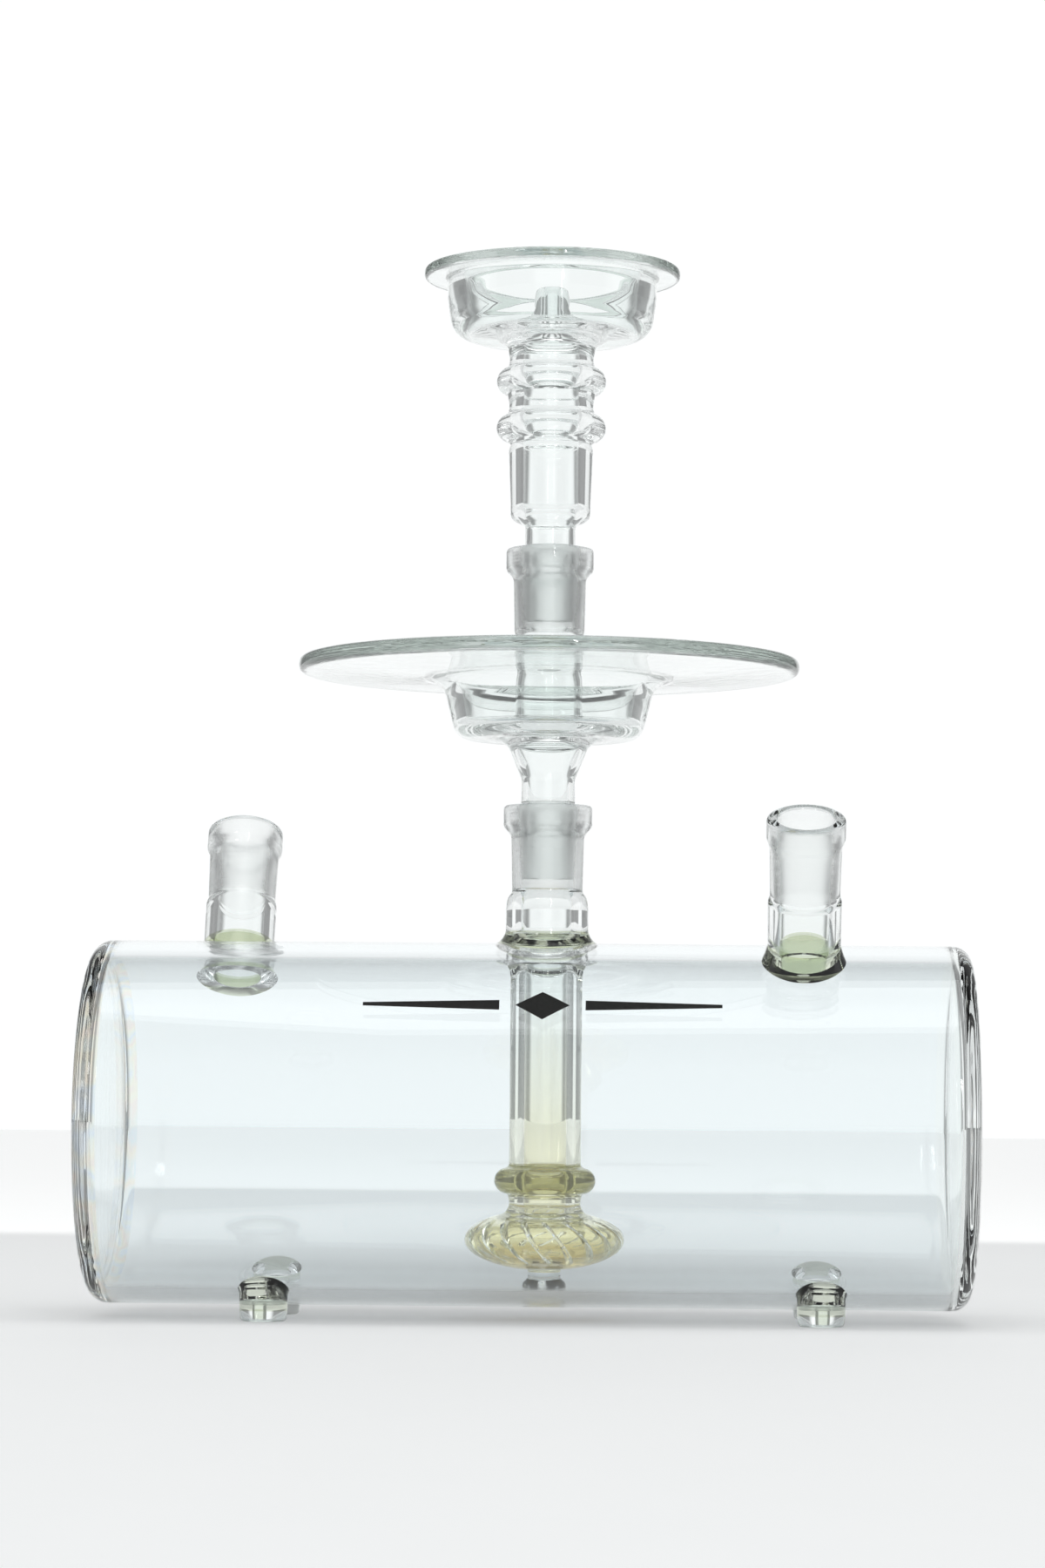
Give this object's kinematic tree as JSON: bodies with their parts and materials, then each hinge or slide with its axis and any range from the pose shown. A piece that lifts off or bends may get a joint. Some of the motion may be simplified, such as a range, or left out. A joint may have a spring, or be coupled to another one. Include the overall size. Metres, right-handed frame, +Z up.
{
  "type": "glass water pipe",
  "caption": "Clear glass water pipe: a horizontal base cylinder on feet with hose sockets, a slotted diffuser, and a lift-off tray and bowl in ground joints.",
  "frame": {"origin": "on the table, under the middle of the object", "axes": "+X along the cylinder to the right, +Y to the back, +Z up along the stem"},
  "size_m": [0.274, 0.1554, 0.327],
  "materials": {
    "clear_glass": "clear, fire polished",
    "ground_glass": "frosted by grinding",
    "fumed_glass": "clear with a pale yellow fume",
    "black_print": "fired enamel print"
  },
  "bodies": {
    "base": {"body_tube": "clear_glass", "end_cap_left": "clear_glass", "end_cap_right": "clear_glass", "neck": "clear_glass", "base_socket": "ground_glass", "downstem": "fumed_glass", "downstem_bead": "fumed_glass", "diffuser_neck": "fumed_glass", "diffuser": "fumed_glass", "support_post": "clear_glass", "rear_port_weld": "clear_glass", "rear_port_tube": "clear_glass", "rear_port_socket": "ground_glass", "front_port_weld": "clear_glass", "front_port_tube": "clear_glass", "front_port_socket": "ground_glass", "foot_front_left": "clear_glass", "foot_front_right": "clear_glass", "foot_rear_left": "clear_glass", "foot_rear_right": "clear_glass", "printed_ornament": "black_print"},
    "tray": {"tray_cone": "ground_glass", "tray_shank": "clear_glass", "tray_reducer": "clear_glass", "ash_plate": "clear_glass", "tray_tube": "clear_glass", "tray_socket": "ground_glass"},
    "bowl": {"bowl_cone": "ground_glass", "bowl_shank": "clear_glass", "bowl_chamber": "clear_glass", "bowl_neck": "clear_glass", "bowl_bead_lower": "clear_glass", "bowl_bead_upper": "clear_glass", "bowl_dish": "clear_glass", "bowl_spire": "clear_glass"}
  },
  "joints": [
    {"name": "tray_lift", "type": "slide", "parent": "base", "child": "tray", "axis": [0, 0, 1], "range_m": [0, 0.04]},
    {"name": "bowl_lift", "type": "slide", "parent": "tray", "child": "bowl", "axis": [0, 0, 1], "range_m": [0, 0.035]}
  ]
}
